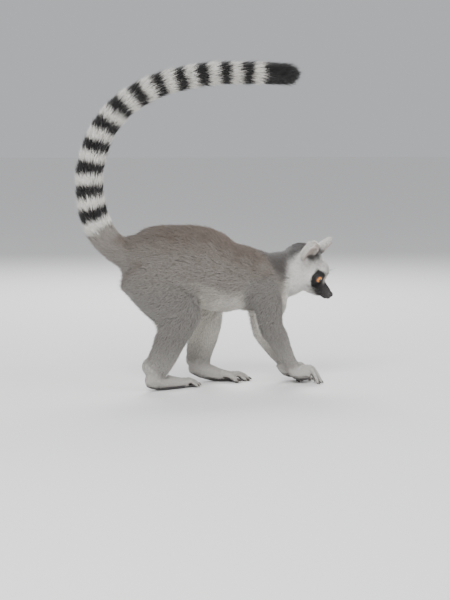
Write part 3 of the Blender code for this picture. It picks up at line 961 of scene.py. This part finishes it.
def unwrapSkin(skin):
    bpy.context.view_layer.objects.active = skin
    skin.select_set(True)
    skin.data.uv_layers.new(name="OFBake")
    bpy.ops.object.mode_set(mode="EDIT")
    bpy.ops.mesh.select_all(action="SELECT")
    bpy.ops.uv.smart_project(angle_limit=math.radians(unwrap["angle"]), island_margin=unwrap["gap"])
    bpy.ops.object.mode_set(mode="OBJECT")
    skin.select_set(False)
    print("skin unwrapped")


def earExtra(at, normal, share):  # longer fringe on the ears' rims
    ahead, out = earFringe["faces"]
    left, right = (np.array([ahead, out * way, 0]) @ headAxes for way in wayOut.values())
    faces = np.where(((at - headOrigin) @ headAxes[1] > 0)[:, None], left, right)
    rim = 1 - ramp(np.abs((normal * faces).sum(1)), *earFringe["fade"])
    return shareOf(share, "ear") * (earFringe["all"] + earFringe["rim"] * rim)


def growCoat(skin, share, cover, points, normals, bare, look):
    mesh = skin.data
    lie = lieOfCoat(mesh, points, normals, share)
    print("lie of the coat found")
    layers, slender = share @ fleshTable[:, 2], share @ fleshTable[:, 3]
    length = tuft["perCover"] * cover + tuft["short"]
    width = (tuft["width"] + tuft["widthPerCover"] * cover) * slender
    density = np.minimum(layers / (length * width), tuft["most"]) * (1 - bare)
    mesh.calc_loop_triangles()
    corners = pointsOf(mesh, "loop_triangles", "vertices", 3, int)
    loops = pointsOf(mesh, "loop_triangles", "loops", 3, int)
    uv = pointsOf(mesh.uv_layers["OFBake"], "data", "uv", 2)
    a, b, c = (points[corners[:, k]] for k in range(3))
    area = np.linalg.norm(np.cross(b - a, c - a), axis=1) / 2 / mm**2
    wanted = (area * density[corners].mean(1)).sum()
    density *= min(1, tuft["inAll"] / wanted)
    print("coat wants", int(wanted), "tufts")
    counts = np.floor(area * density[corners].mean(1) + chance.random(len(area))).astype(int)
    chosen = np.repeat(np.arange(len(area)), counts)
    s, t = np.sqrt(chance.random(len(chosen))), chance.random(len(chosen))
    weight = np.stack([1 - s, s * (1 - t), s * t], axis=1)

    def between(rows):
        return (rows[corners[chosen]] * weight[..., None]).sum(1)

    at, normal, shareAt, lieAt = between(points), unit(between(normals)), between(share), between(lie)
    lieAt = unit(lieAt - normal * (lieAt * normal).sum(1, keepdims=True))
    coverAt, widthAt = between(cover[:, None])[:, 0], between(width[:, None])[:, 0]
    uvAt = (uv[loops[chosen]] * weight[..., None]).sum(1)
    colour, extra = markings(at, normal, shareAt), earExtra(at, normal, shareAt)
    main = shareAt.argmax(1)
    total = 0
    for name, (slot, parts) in coatPieces.items():
        rows = np.flatnonzero(np.isin(main, [kinds.index(k) for k in parts]))
        rows = rows[np.argsort(at[rows, 0], kind="stable")]
        cuts = max(1, math.ceil(len(rows) / tuft["perPiece"]))
        for number, some in enumerate(np.array_split(rows, cuts)):
            label = name if cuts == 1 else f"{name}{number + 1}"
            roots = (each[some] for each in (at, normal, lieAt, coverAt, widthAt, colour, uvAt, extra))
            piece = growTufts(label, *roots)
            piece.data.materials.append(look)
            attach(piece, "root")
            total += len(some)
            print(label, len(some), "tufts")
    print("coat", total, "tufts")


# Materials

def fleckedColour(tree, shader, colour, socket, fleck, tones):  # a colour, made uneven by a noise
    low, high = tones
    tone = addNode(tree, "MapRange", {"From Min": 0.3, "From Max": 0.7, "To Min": low, "To Max": high})
    times = addNode(tree, "VectorMath")
    times.operation = "MULTIPLY"
    wire(
        tree,
        (fleck, "Fac", tone, "Value"), (colour, socket, times, 0),
        (tone, "Result", times, 1), (times, "Vector", shader, "Base Color"),
    )


def coatMaterial():
    made, tree, shader = newMaterial("coatFur")
    fleck = textureNode(tree, "Noise", {"Scale": 420, "Detail": 3})
    fleckedColour(tree, shader, attributeNode(tree, "markings"), "Color", fleck, (0.82, 1.16))
    finish = {"Roughness": 0.72, "Sheen Weight": 0.14, "Sheen Roughness": 0.45, "Specular IOR Level": 0.3}
    setInputs(shader, finish)
    return made


def skinMaterial():
    made, tree, shader = newMaterial("bareSkin")
    colour, bare = attributeNode(tree, "markings"), attributeNode(tree, "bare")
    grain = textureNode(tree, "Noise", {"Scale": 700, "Detail": 4})
    creases = textureNode(tree, "Voronoi", {"Scale": 520})
    creases.feature = "DISTANCE_TO_EDGE"
    height = addNode(tree, "Mix")
    bump = addNode(tree, "Bump", {"Strength": 0.5, "Distance": 0.0008})
    shine = addNode(tree, "MapRange", {"To Min": 0.8, "To Max": 0.42})
    wire(
        tree,
        (bare, "Fac", height, "Factor"), (grain, "Fac", height, "A"), (creases, "Distance", height, "B"),
        (height, "Result", bump, "Height"), (bump, "Normal", shader, "Normal"),
        (bare, "Fac", shine, "Value"), (shine, "Result", shader, "Roughness"),
        (colour, "Color", shader, "Base Color"),
    )
    return made


# Eyes

black = (0.002, 0.002, 0.002)
iris = {
    "segments": (64, 40), "cornea": 0.9, "corneaWidth": 36, "pupil": 0.27, "edge": 0.69,
    "amber": (0.62, 0.19, 0.02),
    "inner": (0.74, 0.31, 0.04),
    "rim": (0.05, 0.02, 0.01),
    "white": (0.05, 0.03, 0.025),
}


def eyeMaterial():
    made, tree, shader = newMaterial("amberEye")
    place = addNode(tree, "UVMap")
    place.uv_map = "iris"
    far = addNode(tree, "VectorMath")
    far.operation = "LENGTH"
    bands = tintNode(tree, black, iris["white"])
    pupil, edge = iris["pupil"], iris["edge"]
    between = (
        (pupil, black), (pupil + 0.02, iris["inner"]), (0.5, iris["amber"]),
        (edge - 0.06, iris["amber"]), (edge, iris["rim"]), (edge + 0.05, iris["white"]),
    )
    for at, colour in between:
        bands.color_ramp.elements.new(at).color = (*colour, 1)
    streaks = addNode(tree, "TexNoise", {"Scale": 9, "Detail": 5})
    wire(tree, (place, "UV", far, 0), (far, "Value", bands, "Fac"), (place, "UV", streaks, "Vector"))
    fleckedColour(tree, shader, bands, "Color", streaks, (0.62, 1.2))
    setInputs(shader, {"Roughness": 0.3, "Specular IOR Level": 0.1, "Coat Weight": 1, "Coat Roughness": 0.02})
    return made


def makeEye(side, look):
    front, across, above = (Vector(v) for v in eyeAxes(side))
    radius = lids["ball"] * mm
    width = iris["corneaWidth"]
    around, down = iris["segments"]
    bm = bmesh.new()
    bmesh.ops.create_uvsphere(bm, u_segments=around, v_segments=down, radius=radius)
    flat = {}
    for v in bm.verts:
        angle = math.degrees(math.acos(max(-1, min(1, v.co.z / radius))))
        flat[v.index] = (v.co.x / radius, v.co.y / radius, v.co.z)
        if angle < width:
            v.co *= 1 + iris["cornea"] * mm / radius * math.cos(math.radians(90 * angle / width)) ** 1.5
    layer = bm.loops.layers.uv.new("iris")
    for face in bm.faces:
        for corner in face.loops:
            x, y, z = flat[corner.vert.index]
            corner[layer].uv = (x, y) if z > 0 else (1 - x * 0.1, 1)
    turn = Matrix((across, above, front)).transposed().to_4x4()
    bmesh.ops.transform(bm, matrix=Matrix.Translation(eyes[side]) @ turn, verts=bm.verts)
    piece = newPiece("eyeball" + side.capitalize(), bm, smooth=True)
    piece.data.materials.append(look)
    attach(piece, "root")
    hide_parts("eye_" + side)


# Nose pad, with a groove down the middle, two nostrils and their wings

nosePad = {
    "at": (63.4, 0, -6.4), "size": (6.6, 6.6, 5.1), "divisions": 6,
    "nostrilAt": (0.62, 0.58, 0.08), "nostrilSize": (0.2, 0.13),
    "nostrilSlant": (0.25, 0.35), "nostrilDepth": 0.42,
    "groove": 0.22, "grooveWidth": 0.09, "grooveTop": 0.25,
    "wing": 0.05, "wingAt": (0.75, 0.25), "wingSize": (0.15, 0.25),
}
nosePadAt = fromHead(*nosePad["at"])


def noseGain(x, y, z):
    top = nosePad["grooveTop"]
    high = 1 if z < top else max(0, 1 - (z - top) * 3)
    gain = 1 - nosePad["groove"] * math.exp(-((y / nosePad["grooveWidth"]) ** 2)) * max(0, x) * high
    if x <= 0:
        return gain
    nx, ny, nz = nosePad["nostrilAt"]
    wide, tall = nosePad["nostrilSize"]
    slantX, slantY = nosePad["nostrilSlant"]
    for way in wayOut.values():
        out = y * way - ny
        far = ((out - slantX * (nx - x)) / wide) ** 2 + ((z - nz - slantY * out) / tall) ** 2
        gain -= nosePad["nostrilDepth"] * math.exp(-far)
    (wy, wz), (wide, tall) = nosePad["wingAt"], nosePad["wingSize"]
    return gain + nosePad["wing"] * math.exp(-(((abs(y) - wy) / wide) ** 2) - ((z - wz) / tall) ** 2)


def noseMaterial():
    made, tree, shader = newMaterial("noseLeather")
    pebbles = textureNode(tree, "Voronoi", {"Scale": 1300})
    tint = tintNode(tree, (0.016, 0.014, 0.014), (0.034, 0.029, 0.028))
    bump = addNode(tree, "Bump", {"Strength": 0.2, "Distance": 0.0003})
    wire(
        tree,
        (pebbles, "Distance", tint, "Fac"), (pebbles, "Distance", bump, "Height"),
        (tint, "Color", shader, "Base Color"), (bump, "Normal", shader, "Normal"),
    )
    setInputs(shader, {"Roughness": 0.4})
    return made


def makeNose():
    bm = bmesh.new()
    bmesh.ops.create_icosphere(bm, subdivisions=nosePad["divisions"], radius=1)
    for v in bm.verts:
        v.co *= noseGain(*v.co)
    size = [s * mm for s in nosePad["size"]]
    shape = Matrix(headAxes.T.tolist()).to_4x4() @ Matrix.Diagonal((*size, 1))
    bmesh.ops.transform(bm, matrix=Matrix.Translation(nosePadAt) @ shape, verts=bm.verts)
    piece = newPiece("nosePad", bm, smooth=True)
    piece.data.materials.append(noseMaterial())
    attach(piece, "root")
    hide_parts("nose")


# Nails on fingers and toes, and the claw of the second toe, with sizes in radii of the digit

nail = {"length": 0.95, "forward": 0.35, "narrow": 1, "taper": 0.12, "hook": 0.12}
claw = {"length": 2.0, "forward": 0.95, "narrow": 0.7, "taper": 0.55, "hook": 0.25}
nailForm = {
    "width": 0.72, "thick": 0.32, "raise": 0.62, "tipHeight": 0.75, "crown": 0.35,
    "dip": (0.25, 0.55),  # how far the digit's run and drop turn its tip
    "lowest": 0.55, "floorGap": 0.2, "segments": (20, 12),
}


def addNail(bm, heel, way, drop, digit, form):
    rootX, rootY, length, spread, radius = digit
    angle = math.radians(spread)
    run, fall = nailForm["dip"]
    ahead, out = math.cos(angle) * length, math.sin(angle) * length
    tip = Vector((rootX + ahead, -(rootY + out) * way, radius * nailForm["tipHeight"]))
    along = Vector((ahead * run, -out * run * way, -fall * drop)).normalized()
    across = Vector((0, 0, 1)).cross(along).normalized()
    above = along.cross(across)
    around, down = nailForm["segments"]
    made = bmesh.ops.create_uvsphere(bm, u_segments=around, v_segments=down, radius=1)["verts"]
    for v in made:
        front = max(0, v.co.x)
        taper = 1 - form["taper"] * front
        v.co.y *= taper
        v.co.z = v.co.z * taper - nailForm["crown"] * v.co.y**2 - form["hook"] * front**2
    width = radius * nailForm["width"] * form["narrow"]
    size = Matrix.Diagonal((radius * form["length"], width, radius * nailForm["thick"], 1))
    place = tip + along * radius * form["forward"] + above * radius * nailForm["raise"]
    place.z = max(place.z, radius * nailForm["lowest"])
    turnTo = Matrix((along, across, above)).transposed().to_4x4()
    inPlace = heel @ Matrix.Translation(place * mm) @ turnTo @ Matrix.Diagonal((mm, mm, mm, 1)) @ size
    bmesh.ops.transform(bm, matrix=inPlace, verts=made)


def nailMaterial():
    made, tree, shader = newMaterial("nailHorn")
    grain = textureNode(tree, "Noise", {"Scale": 900})
    tint = tintNode(tree, (0.020, 0.017, 0.015), (0.075, 0.062, 0.052))
    wire(tree, (grain, "Fac", tint, "Fac"), (tint, "Color", shader, "Base Color"))
    setInputs(shader, {"Roughness": 0.35})
    return made


def makeNails():
    bm = bmesh.new()
    for kind, paw in paws.items():
        for side, way in wayOut.items():
            x, y, turn = paw[side]
            heel = Matrix.Translation(Vector((x, y * way, 0)) * mm + Vector(middle))
            heel = heel @ Matrix.Rotation(math.radians(-turn * way), 4, "Z")
            for number, digit in enumerate(paw["digits"]):
                form = claw if kind == "foot" and number == 1 else nail
                addNail(bm, heel, way, paw["drop"], digit, form)
    for v in bm.verts:
        v.co.z = max(v.co.z, nailForm["floorGap"] * mm)
    piece = newPiece("nails", bm, smooth=True)
    piece.data.materials.append(nailMaterial())
    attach(piece, "root")


# Whiskers on the lips and over the eyes

whisker = {
    "lip": {"count": 14, "x": (39, 56), "z": (-15, -10), "length": 34, "aim": (-0.35, 0.85, -0.42)},
    "brow": {"count": 4, "x": (27, 31), "z": (15, 18), "length": 20, "aim": (0.55, 0.45, 0.75)},
    "lipOut": 16, "browOut": (11, 18), "swing": 0.14, "lengths": (0.55, 1.1), "sag": 0.16, "width": 0.34,
}


def whiskerRoots(skin):
    search = BVHTree.FromObject(skin, bpy.context.evaluated_depsgraph_get())
    at, lie, lengths = [], [], []
    for group in ("lip", "brow"):
        row = whisker[group]
        for way in wayOut.values():
            for _ in range(row["count"]):
                x, z = chance.uniform(*row["x"]), chance.uniform(*row["z"])
                out = whisker["lipOut"] if group == "lip" else chance.uniform(*whisker["browOut"])
                found = search.find_nearest(fromHead(x, out * way, z))[0]
                aim = np.array(row["aim"]) * (1, way, 1) + chance.normal(0, whisker["swing"], 3)
                at.append(np.array(found))
                lie.append(aim @ headAxes)
                lengths.append(row["length"] * chance.uniform(*whisker["lengths"]))
    return np.array(at), unit(np.array(lie)), np.array(lengths)


def makeWhiskers(skin, look):
    at, lie, lengths = whiskerRoots(skin)
    rows, faces = tuftShape()
    side = unit(np.cross(lie, headAxes[0]))
    up = np.cross(lie, side)
    z, width = rows[:, 2], whisker["width"]
    places = at[:, None] + lie[:, None] * (lengths[:, None] * z[None] * mm)[..., None]
    places += side[:, None] * (rows[None, :, 0] * width * mm)[..., None]
    places += up[:, None] * (rows[None, :, 1] * width * mm)[..., None]
    places -= headAxes[2] * ((lengths[:, None] * whisker["sag"] * z[None] ** 2) * mm)[..., None]
    colours = np.tile(paint["patch"] * 2, (len(at), len(rows), 1))
    uvs = np.full((len(at), len(rows), 2), 0.5) + rows[None, :, :2] * tuft["patch"]
    piece = arrayed("whiskers", rows, faces, places, colours, uvs)
    piece.data.materials.append(look)
    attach(piece, "root")


makeCamera()
skin, share, cover = makeSkin()
print("skin", sum(len(p.vertices) - 2 for p in skin.data.polygons), "triangles")
dressed = dressSkin(skin, share)
unwrapSkin(skin)
skin.data.materials.append(skinMaterial())
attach(skin, "root")
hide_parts(*fleshNodes)
coatLook = coatMaterial()
growCoat(skin, share, cover, *dressed, coatLook)
eyeLook = eyeMaterial()
for side in eyes:
    makeEye(side, eyeLook)
makeNose()
makeNails()
makeWhiskers(skin, coatLook)
print("eyes, nose, nails and whiskers made")
makeRoom()
